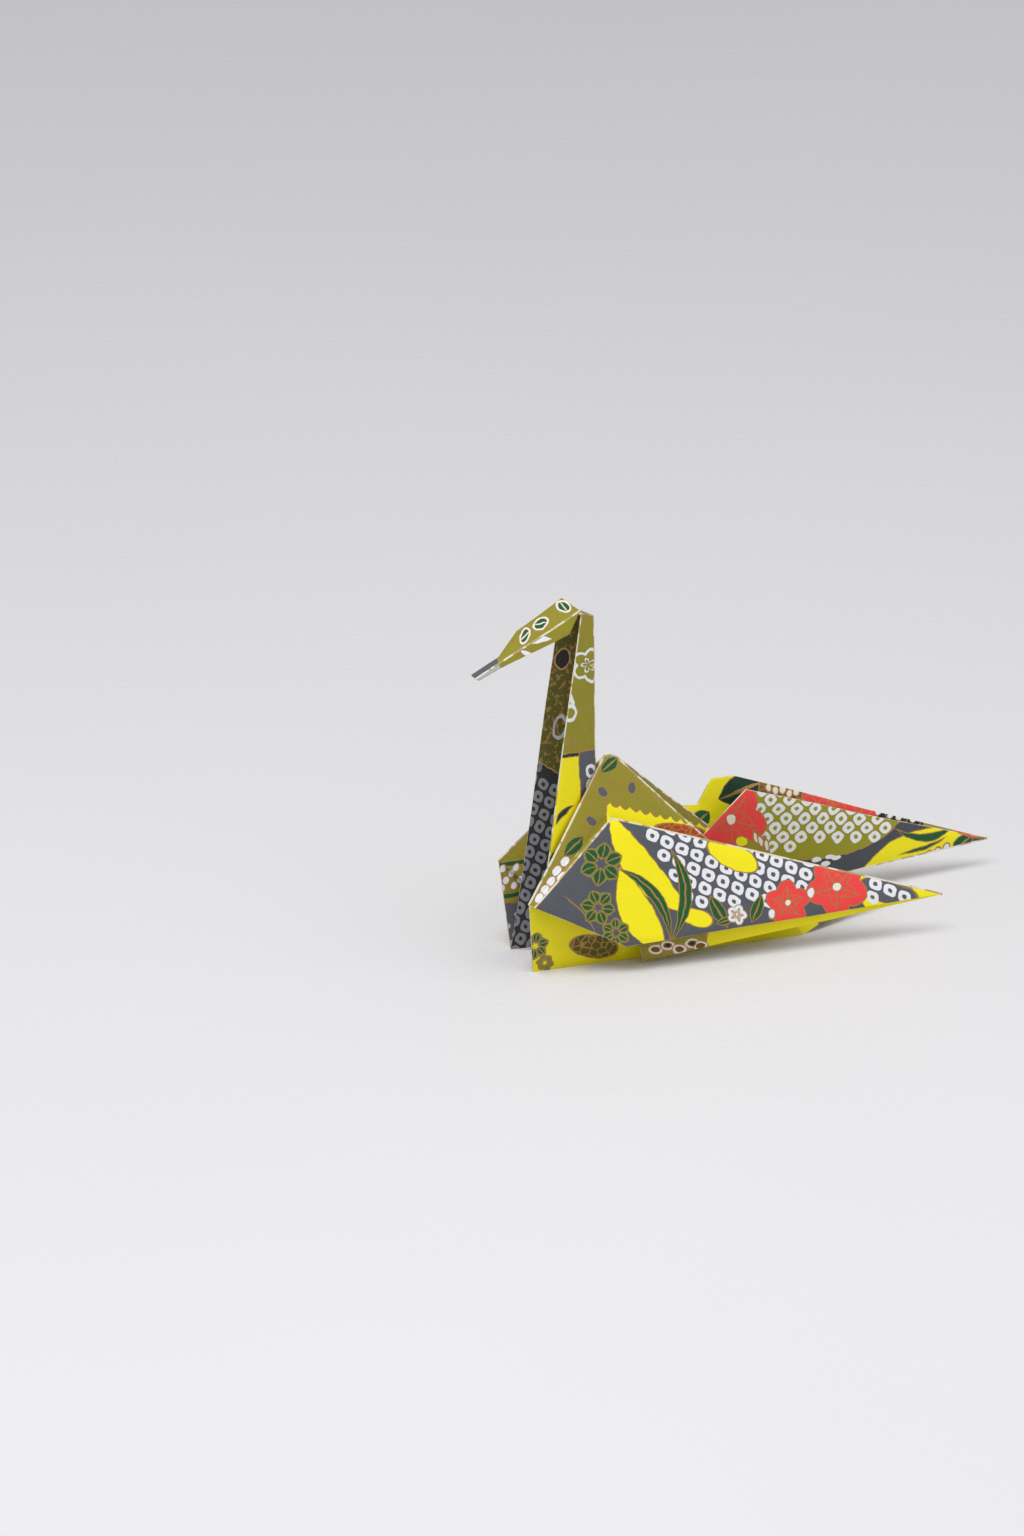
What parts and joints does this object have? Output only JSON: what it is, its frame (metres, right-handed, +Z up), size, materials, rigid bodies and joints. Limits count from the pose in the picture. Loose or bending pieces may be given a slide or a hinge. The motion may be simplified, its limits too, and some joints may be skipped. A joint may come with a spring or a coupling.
{
  "type": "origami crane",
  "caption": "Folded paper crane with an upright neck, bent head, peaked back and narrow wings swept back along the body; a printed paper ornament that stands on its folded lower edges.",
  "frame": {"origin": "under the middle of the crane's box, on the surface it stands on", "axes": "+X from head to tail, +Z up, the lower wing in the picture on -Y"},
  "size_m": [0.0924, 0.0248, 0.0594],
  "materials": {
    "printed_paper": "matte printed mulberry paper with fine gold outlines"
  },
  "bodies": {
    "root": {"crane": "printed_paper"}
  },
  "joints": []
}
